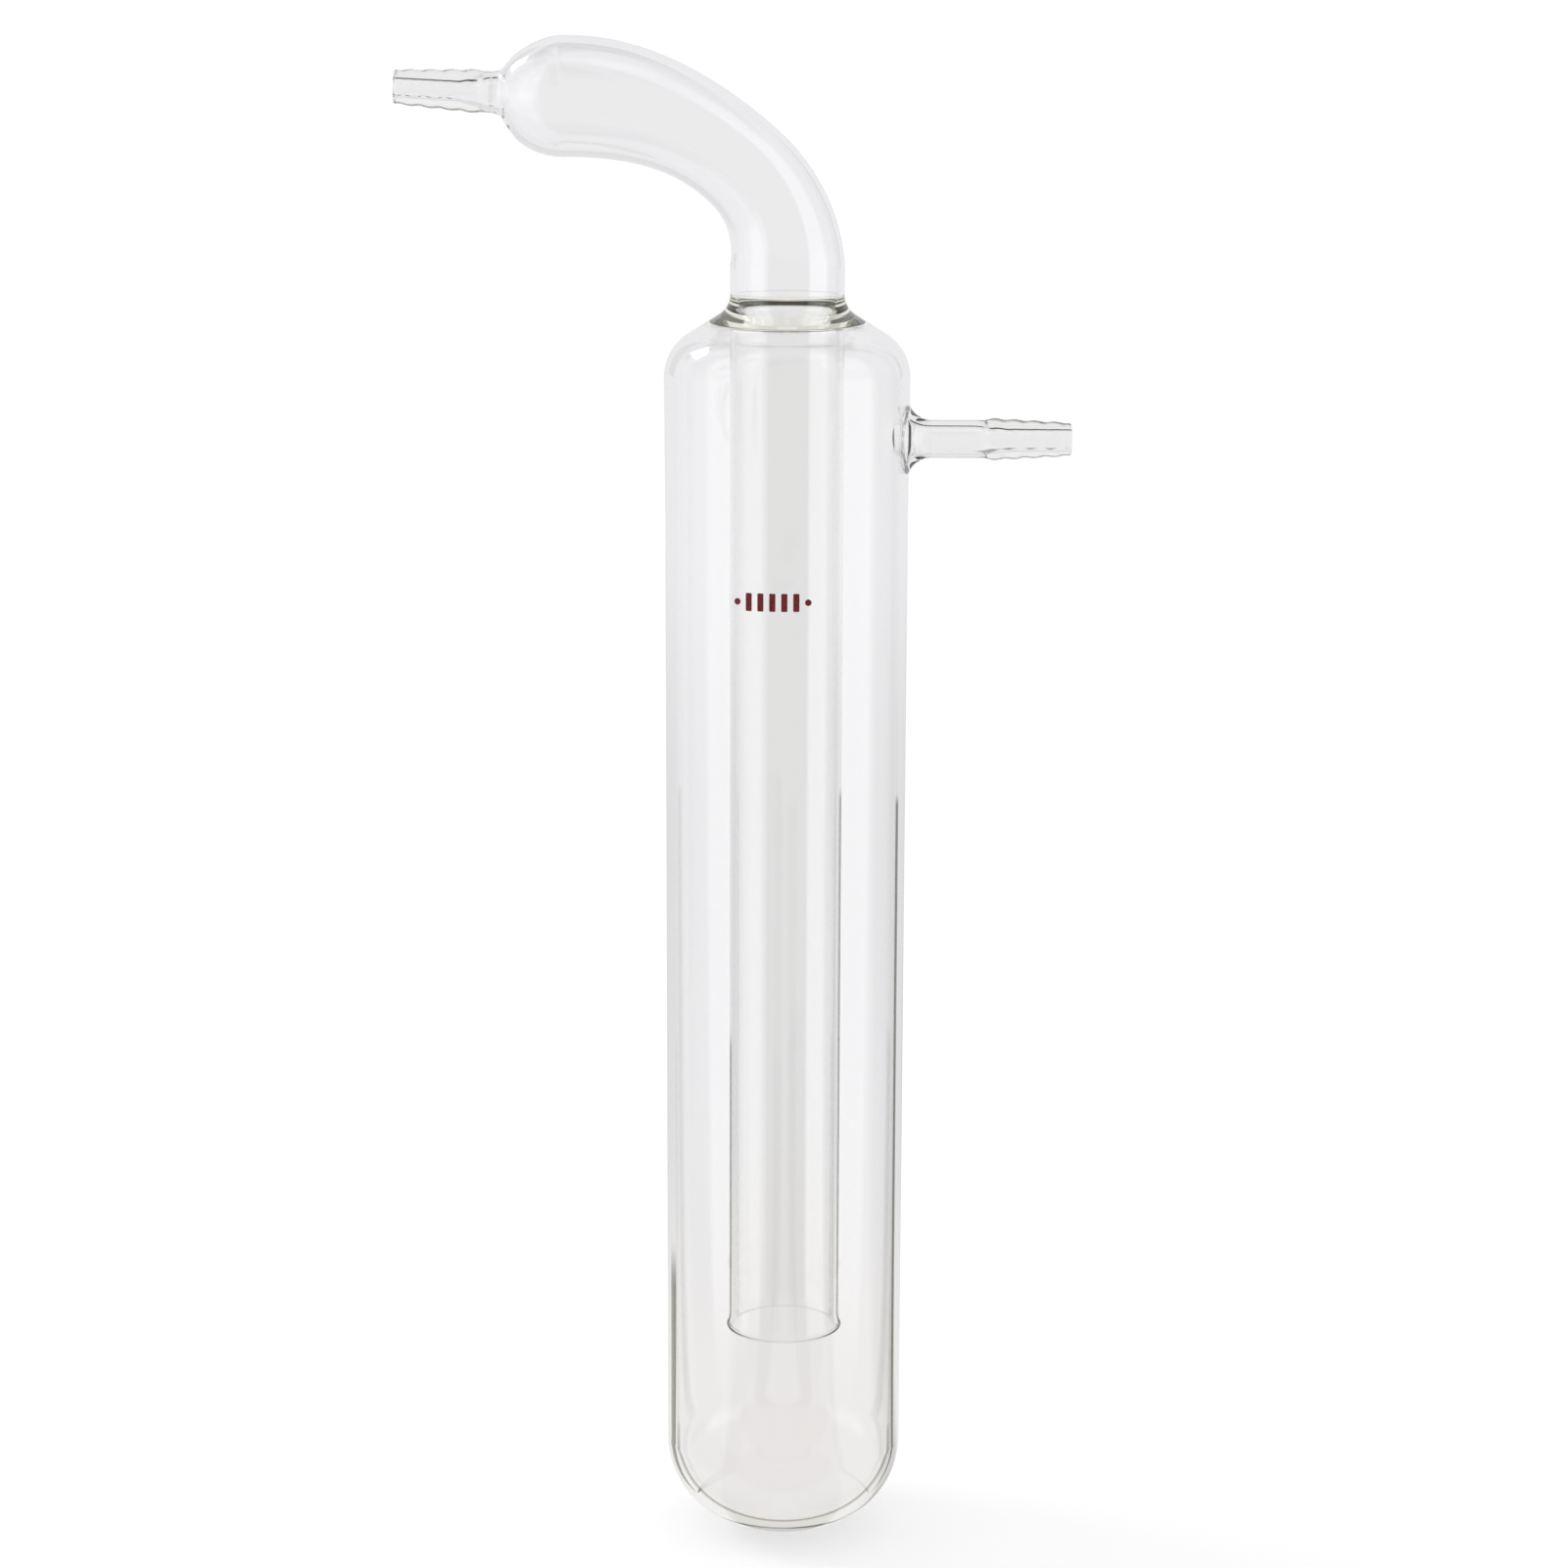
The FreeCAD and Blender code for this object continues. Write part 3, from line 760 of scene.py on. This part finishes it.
def ridgeTree(shank, tip):
    # moves the outer wall in and out: crests one pitch apart, growing away from the tip
    tree = Tree("hoseRidges", {
        "Tip": tip, "Shank": shank, "Ridges": ridges["count"], "To First": ridges["toFirst"],
        "Pitch": ridges["pitch"], "First Radius": ridges["first"], "Growth": ridges["growth"],
        "Depth": ridges["depth"], "Run Out": ridges["runOut"], "Outer From": ridges["outerFrom"],
        "Material": hoseGlass,
    })
    given = tree.inputs
    x, y, z = tree.parts(tree.step("GeometryNodeInputPosition"))
    back = tree.math("SUBTRACT", tree.math("SUBTRACT", given["Tip"], z), given["To First"])
    number = tree.math("DIVIDE", back, given["Pitch"])
    crest = tree.math("MULTIPLY_ADD", number, given["Growth"], given["First Radius"])
    wave = tree.math("COSINE", tree.product(number, 2 * math.pi))
    dip = tree.product(tree.math("SUBTRACT", 1.0, wave), given["Depth"], 0.5)
    ridged = tree.math("SUBTRACT", crest, dip)
    # past the last crest the wall settles back to the shank
    lastCrest = tree.math("SUBTRACT", given["Ridges"], 1.0)
    past = tree.product(tree.math("SUBTRACT", number, lastCrest), given["Pitch"])
    settle = tree.rise(tree.math("DIVIDE", past, given["Run Out"]), 0.0, 1.0)
    lastRadius = tree.math("MULTIPLY_ADD", lastCrest, given["Growth"], given["First Radius"])
    settled = tree.between(settle, lastRadius, given["Shank"])
    target = tree.between(tree.math("GREATER_THAN", number, lastCrest), ridged, settled)
    # only the outer wall moves; the move fades out towards the bore, which keeps its shape
    radius = tree.vector("LENGTH", tree.joined(x, y)).outputs["Value"]
    innerEdge = tree.product(given["Shank"], given["Outer From"])
    share = tree.rise(radius, innerEdge, given["Shank"], "LINEAR")
    wanted = tree.product(tree.math("DIVIDE", target, given["Shank"]), radius)
    scale = tree.math("DIVIDE", tree.between(share, radius, wanted), radius)
    ridgedPlace = tree.joined(tree.product(x, scale), tree.product(y, scale), z)
    return tree.close(tree.moved(given["Geometry"], ridgedPlace))


def connectionBlank(size, length):
    # a plain tube with a rounded tip, and a bore that narrows where the ridges start
    shank, bore, tipBore = size["shank"], size["bore"], size["tipBore"]
    rounding, rim = ridges["tipRound"], ridges["rimRound"]
    ridged = ridges["toFirst"] + ridges["pitch"] * (ridges["count"] - 1) + ridges["runOut"]
    wide = length - ridged - ridges["taperLead"]
    narrow = wide + ridges["boreTaper"]
    section = straight((shank, -fuse), (shank, length - rounding), ridges["rows"])
    section += arcPoints((shank - rounding, length - rounding), rounding, 0, 90, 10)[1:]
    section += arcPoints((tipBore + rim, length - rim), rim, 90, 180, 6)
    section += straight((tipBore, length - rim), (tipBore, narrow), 12)[1:]
    for t in after(0, 1, ridges["taperRows"]):
        section.append((tipBore + (bore - tipBore) * ease(t), narrow - ridges["boreTaper"] * t))
    section += straight((bore, wide), (bore, -fuse), 8)[1:]
    shell = Shell()
    shell.loop(section)
    return shell.finish("connectionBlank")


def makeConnection(node, size, base, axis, length):
    blank = scratchObject("connectionBlank", connectionBlank(size, length))
    mesh = ridgeTree(size["shank"], length).applied(blank)
    # the blank's X axis goes to the frame's down or up, its Y axis stays across
    across = Vector((0, 1, 0))
    matrix = Matrix((across.cross(axis), across, axis)).transposed().to_4x4()
    matrix.translation = base
    mesh.transform(matrix)
    mesh.name = node
    newPiece(node + "_glass", smooth(mesh), node, material=hoseGlass)


outletBase = Vector((outlet["start"], 0, outlet["height"]))
makeConnection("side_arm", outlet, outletBase, Vector((1, 0, 0)), outlet["tip"] - outlet["start"])
inletBase = inlet["tip"] - inlet["axis"] * inlet["length"]
makeConnection("inlet_hose_connection", inlet, inletBase, inlet["axis"].normalized(), inlet["length"])
print("hose connections made")


# the fired enamel mark: a plain row of bars with a dot at each end, laid on the barrel's front

mark = {
    "height": 0.097,
    "offset": -0.0034,
    "bars": 5,
    "pitch": 0.0029,
    "barWidth": 0.0015,
    "barHeight": 0.0044,
    "corner": 0.00025,
    "cornerSteps": 5,
    "dot": 0.0008,
    "dotSteps": 28,
    "sunk": 0.00002,
    "thickness": 0.00005,
    "weldWithin": 0.000002,
}


def markTree():
    # a flat row of bars between two dots, thickened and laid round the barrel
    tree = Tree("enamelRow", {
        "Bars": mark["bars"], "Pitch": mark["pitch"], "Offset": mark["offset"], "Height": mark["height"],
        "Bar Width": mark["barWidth"], "Bar Height": mark["barHeight"], "Corner": mark["corner"],
        "Corner Steps": mark["cornerSteps"], "Dot": mark["dot"], "Dot Steps": mark["dotSteps"],
        "Sunk": mark["sunk"], "Thickness": mark["thickness"], "Weld Within": mark["weldWithin"],
        "Barrel Radius": barrel["radius"], "Material": enamel,
    })
    given = tree.inputs
    bars, pitch, sunk, radius = given["Bars"], given["Pitch"], given["Sunk"], given["Barrel Radius"]
    corners = tree.step("GeometryNodeCurvePrimitiveQuadrilateral",
                        {"Width": given["Bar Width"], "Height": given["Bar Height"]})
    rounded = tree.step("GeometryNodeFilletCurve", {"Curve": corners, "Radius": given["Corner"],
                                                    "Count": given["Corner Steps"]}, mode="POLY")
    bar = tree.step("GeometryNodeFillCurve", {"Curve": rounded}, mode="NGONS")
    circle = tree.step("GeometryNodeCurvePrimitiveCircle",
                       {"Radius": given["Dot"], "Resolution": given["Dot Steps"]})
    dot = tree.step("GeometryNodeFillCurve", {"Curve": circle}, mode="NGONS")
    halfRow = tree.product(tree.math("SUBTRACT", bars, 1.0), 0.5, pitch)
    firstBar = tree.math("SUBTRACT", given["Offset"], halfRow)
    firstDot = tree.math("SUBTRACT", firstBar, pitch)
    dotsApart = tree.product(tree.math("ADD", bars, 1.0), pitch)
    joined = tree.step("GeometryNodeJoinGeometry")
    for shape, count, first, apart in ((bar, bars, firstBar, pitch), (dot, 2, firstDot, dotsApart)):
        line = tree.step("GeometryNodeMeshLine", {
            "Count": count, "Start Location": tree.joined(first), "Offset": tree.joined(apart),
        }, mode="OFFSET")
        row = tree.step("GeometryNodeInstanceOnPoints", {"Points": line, "Instance": shape})
        tree.feed(joined.inputs[0], row)
    flat = tree.step("GeometryNodeRealizeInstances", {"Geometry": joined})
    depth = tree.math("ADD", sunk, given["Thickness"])
    raised = tree.step("GeometryNodeExtrudeMesh", {"Mesh": flat, "Offset Scale": depth, "Individual": True},
                       mode="FACES")
    whole = tree.step("GeometryNodeJoinGeometry", {0: raised})
    tree.feed(whole.inputs[0], tree.step("GeometryNodeFlipFaces", {"Mesh": flat}))
    closed = tree.step("GeometryNodeMergeByDistance", {"Geometry": whole, "Distance": given["Weld Within"]})
    x, y, z = tree.parts(tree.step("GeometryNodeInputPosition"))
    angle = tree.math("DIVIDE", x, radius)
    out = tree.math("ADD", tree.math("SUBTRACT", radius, sunk), z)
    laid = tree.joined(tree.product(out, tree.math("SINE", angle)),
                       tree.product(out, -1.0, tree.math("COSINE", angle)),
                       tree.math("ADD", given["Height"], y))
    return tree.close(tree.moved(closed, laid))


def makeMark():
    mesh = markTree().applied(scratchObject("markBlank", bpy.data.meshes.new("markBlank")))
    mesh.name = "enamelMark"
    newPiece("enamel_mark_fired", mesh, "enamel_mark", material=enamel, slot="fired_enamel")


makeMark()
print("enamel mark made")


# floor, camera and light

# Nothing stands round the object. The screens, gaps and window are drawn in the shading of the floor and
# of the world, and only light that has met the glass finds them. Light that only goes through it finds
# plain paper, with a dark roof and a dark near floor. Light that it has also mirrored finds the bright and
# dim screens, and which of them goes by how often it has been mirrored and refracted.
# Every reach is where something starts and where it is complete, measured from the frame's origin. A turn
# is a middle, a half width and a softness in degrees off the front, to the right; a rise is the same, up
# from level.
studio = {
    "floorSide": 12.0,
    "floorColour": (0.80, 0.80, 0.80, 1.0),
    "floorLift": 0.56,                     # how much the floor glows for the eye, so that it is white paper
    "evenLight": (0.55, 0.55, 0.55, 1.0),  # what the surround gives to the floor
    # seen straight through the glass
    "paper": (0.882, 0.882, 0.905, 1),     # the floor
    "wallPaper": (0.900, 0.900, 0.925, 1),     # the wall behind it
    "nearPaper": (0.87, 0.845, 0.84, 1),   # the floor close to the foot
    "nearReach": (0.08, 0.45),
    "above": (0.25, 0.24, 0.155, 1),       # the dark roof
    "aboveFrom": (50.0, 56.0),             # the angles where it starts and is complete
    "card": (0.25, 0.235, 0.185, 1),       # the near floor, as found through solid glass such as a ridge
    "cardReach": (0.20, 0.30),
    # mirrored by the glass
    "screen": (0.85, 0.85, 0.875, 1),      # the far floor and the wall
    "midScreen": (0.75, 0.75, 0.77, 1),    # the floor half a metre away
    "nearScreen": (0.86, 0.85, 0.83, 1),   # the floor close to the foot
    "midReach": (0.14, 0.42),
    "farReach": (0.8, 2.0),
    "front": (1.25, 1.25, 1.28, 1),        # the bright screens either side of the one who looks
    "midFront": (0.98, 0.98, 1.00, 1),     # the same over the floor half a metre away
    "innerFront": (1.55, 1.55, 1.58, 1),   # the same as the inner tube mirrors them
    "leftTurn": (-76.0, 25.0, 2.0),
    "rightTurn": (69.5, 23.5, 3.0),
    "frontReach": (0.13, 0.22),
    "frontTop": (1.0, 15.0),               # the angles where they start to fade and are gone
    "slot": (0.47, 0.45, 0.41, 1),         # the dim room between the two
    "slotTurn": (-2.0, 49.0, 2.0),
    "dim": (0.38, 0.38, 0.39, 1),          # the dim screen at the right
    "farDim": (0.60, 0.60, 0.62, 1),       # the same, far out on the floor and above it
    "dimTurn": (108.0, 25.0, 5.0),
    "ceiling": (0.50, 0.50, 0.51, 1),
    "ceilingFrom": (52.0, 56.0),           # the angles where it starts and is complete
    "overheadRise": (58.0, 9.0, 2.0),      # a band as dark as the gaps
    "window": (5.0, 5.0, 5.1, 1),          # the small bright window that the shoulder mirrors
    "windowTurn": (-119.0, 10.5, 1.0),
    "windowRise": (37.0, 9.5, 1.0),
    "gap": (0.075, 0.066, 0.034, 1),       # where the screens part
    "gapSoftness": 1.0,
    "gapEnd": 0.02,                        # how softly the gaps end on the floor
    "everyGap": (0.10, 0.16),              # nearer than this, light that is mirrored twice finds gaps too
    "wallGap": 0.15,                       # how dark the gaps are above the floor
}
gaps = [
    # right or left, whether the inner tube's, middle and half width in degrees, the radius of what mirrors
    # it, and how far out it runs over the floor
    {"side": 1.0, "inner": False, "middle": 36.5, "halfWidth": 3.5, "radius": 0.030, "reach": 0.97},
    {"side": -1.0, "inner": False, "middle": 31.5, "halfWidth": 8.5, "radius": 0.030, "reach": 0.27},
    {"side": 1.0, "inner": True, "middle": 14.5, "halfWidth": 9.5, "radius": 0.0135, "reach": 0.97},
    {"side": -1.0, "inner": True, "middle": 14.5, "halfWidth": 9.5, "radius": 0.0135, "reach": 0.50},
]


class StudioShading(Shading):
    # the floor's and the surround's shading, which tells by its path what light has met on its way
    def __init__(self, owner, kind):
        super().__init__(owner)
        path = self.step("ShaderNodeLightPath").outputs
        self.straight = path["Is Camera Ray"]
        self.glassy = self.math("MAXIMUM", path["Is Glossy Ray"], path["Is Transmission Ray"])
        # mirrored on its way, as in a highlight or at the edge of a wall; and mirrored once at most
        self.bounced = self.math("GREATER_THAN", path["Glossy Depth"], 0.5)
        self.bouncedOnce = self.math("LESS_THAN", path["Glossy Depth"], 1.5)
        # light that has been in the glass at all; once it has crossed both walls, or one wall and the inner
        # tube, it has been refracted four times or more
        self.entered = self.math("GREATER_THAN", path["Transmission Depth"], 0.5)
        self.crossed = self.math("GREATER_THAN", path["Transmission Depth"], 3.5)
        self.inWall = self.math("SUBTRACT", self.entered, self.crossed)
        self.whole = self.place(kind)
        self.x, self.y, self.z = self.parts(self.whole)
        self.turned = self.degrees(self.x, self.product(self.y, -1.0))

    def gapShare(self, distance=None):
        # the gaps between the screens, alike in front and behind; the inner tube has its own, which is found
        # by light that has crossed the barrel's two walls
        onward = self.math("ABSOLUTE", self.y)
        whole = 0.0
        for gap in gaps:
            across = self.product(self.x, gap["side"])
            reach = 1.0
            if distance is not None:
                across = self.math("SUBTRACT", across, gap["radius"])
                reach = self.band(distance, 0.0, gap["reach"], studio["gapEnd"])
            turned = self.degrees(across, onward)
            share = self.band(turned, gap["middle"], gap["halfWidth"], studio["gapSoftness"])
            share = self.product(share, self.crossed if gap["inner"] else self.inWall, reach)
            whole = self.math("MAXIMUM", whole, share)
        return whole

    def mirroredRound(self, base, dim, front, shown, shining):
        # the studio as glass mirrors it, by the angle off the front; shown is how much of it there is at
        # this place, and shining is how much of its bright screens
        for turn, lit, share in (("dimTurn", dim, shown), ("leftTurn", front, shining),
                                 ("rightTurn", front, shining), ("slotTurn", studio["slot"], shown)):
            base = self.mix(self.product(self.band(self.turned, *studio[turn]), share), base, lit)
        return base


def makeFloor():
    half, z = studio["floorSide"] / 2, barrel["bottom"]
    mesh = bpy.data.meshes.new("floor")
    corners = [(-half, -half, z), (half, -half, z), (half, half, z), (-half, half, z)]
    mesh.from_pydata(corners, [], [(0, 1, 2, 3)])
    floor = scratchObject("floor", mesh)
    paper = bpy.data.materials.new("paleFloor")
    shading = StudioShading(paper, "Object")
    mix, without = shading.mix, shading.without
    distance = shading.vector("LENGTH", shading.whole).outputs["Value"]

    def beyond(reach):
        return shading.rise(distance, *studio[reach])

    base = mix(beyond("midReach"), studio["nearScreen"], studio["midScreen"])
    base = mix(beyond("farReach"), base, studio["screen"])
    dim = mix(beyond("farReach"), studio["dim"], studio["farDim"])
    front = mix(beyond("farReach"), studio["midFront"], studio["front"])
    front = mix(shading.crossed, front, studio["innerFront"])
    shown = shading.math("MAXIMUM", beyond("frontReach"), without(shading.entered))
    mirrored = shading.mirroredRound(base, dim, front, shown, shown)
    often = shading.math("MAXIMUM", without(beyond("everyGap")), shading.bouncedOnce)
    mirrored = mix(shading.product(shading.gapShare(distance), often), mirrored, studio["gap"])
    through = mix(beyond("nearReach"), studio["nearPaper"], studio["paper"])
    card = shading.product(without(shading.crossed), without(beyond("cardReach")))
    through = mix(card, through, studio["card"])
    # the eye sees a matte floor with its shadow, lifted to white; glass finds the drawn studio instead
    matte = shading.step("ShaderNodeBsdfDiffuse", {"Color": studio["floorColour"]})
    lift = shading.product(shading.straight, studio["floorLift"])
    glow = shading.step("ShaderNodeEmission", {"Strength": lift})
    lifted = shading.step("ShaderNodeAddShader", {0: matte, 1: glow})
    inGlass = shading.step("ShaderNodeEmission", {"Color": mix(shading.bounced, through, mirrored)})
    surface = shading.step("ShaderNodeMixShader", {0: shading.glassy, 1: lifted, 2: inGlass})
    shading.finish({"Surface": surface})
    mesh.materials.append(paper)


def makeWorld():
    world = bpy.data.worlds.new("studio")
    bpy.context.scene.world = world
    shading = StudioShading(world, "Generated")
    mix, without, band = shading.mix, shading.without, shading.band
    up = shading.product(shading.math("ARCSINE", shading.z), 180 / math.pi)
    front = mix(shading.crossed, studio["front"], studio["innerFront"])
    shining = without(shading.rise(up, *studio["frontTop"]))
    mirrored = shading.mirroredRound(studio["screen"], studio["farDim"], front, 1.0, shining)
    mirrored = mix(shading.rise(up, *studio["ceilingFrom"]), mirrored, studio["ceiling"])
    gap = shading.product(shading.gapShare(), studio["wallGap"], shading.bouncedOnce)
    overhead = shading.product(band(up, *studio["overheadRise"]), shading.inWall)
    mirrored = mix(shading.math("MAXIMUM", gap, overhead), mirrored, studio["gap"])
    window = shading.product(band(shading.turned, *studio["windowTurn"]), band(up, *studio["windowRise"]))
    mirrored = mix(shading.product(window, without(shading.entered)), mirrored, studio["window"])
    high = shading.product(without(shading.crossed), shading.rise(up, *studio["aboveFrom"]))
    through = mix(high, studio["wallPaper"], studio["above"])
    lit = mix(shading.glassy, studio["evenLight"], mix(shading.bounced, through, mirrored))
    surface = shading.step("ShaderNodeBackground", {"Color": mix(shading.straight, lit, white)})
    shading.finish({"Surface": surface})


camera = {
    "focal": 83.2,
    "sensor": 36.0,
    "nearest": 0.01,
    "distance": 0.8925,
    "height": 0.226,
    "right": -0.00042,
    "down": 11.366,            # degrees below level
    "roll": 0.20,              # degrees round its own axis
}


def makeCamera():
    data = bpy.data.cameras.new("camera")
    data.lens = camera["focal"]
    data.sensor_width = camera["sensor"]
    data.clip_start = camera["nearest"]
    eye = scratchObject("camera", data)
    eye.location = (camera["right"], -camera["distance"], camera["height"])
    look = Euler((math.radians(90 - camera["down"]), 0, 0)).to_matrix()
    eye.rotation_euler = (look @ Euler((0, 0, math.radians(camera["roll"]))).to_matrix()).to_euler()
    bpy.context.scene.camera = eye


lamp = {
    "place": Vector((-0.95, 0.25, 0.55)),
    "aim": Vector((0, 0, 0.05)),
    "width": 0.50,
    "height": 0.45,
    "power": 2.4,
}


def makeLamp():
    data = bpy.data.lights.new("leftWindow", "AREA")
    data.shape = "RECTANGLE"
    data.size = lamp["width"]
    data.size_y = lamp["height"]
    data.energy = lamp["power"]
    light = scratchObject("leftWindow", data)
    light.visible_glossy = False       # the window in the surround takes its place in the glass
    light.visible_transmission = False
    light.location = lamp["place"]
    light.rotation_euler = (lamp["aim"] - lamp["place"]).to_track_quat("-Z", "Y").to_euler()


makeFloor()
makeWorld()
makeCamera()
makeLamp()
cycles = bpy.context.scene.cycles
cycles.max_bounces = 32
cycles.transmission_bounces = 28
cycles.glossy_bounces = 12
bpy.context.scene.view_settings.view_transform = "Standard"
print("studio made")
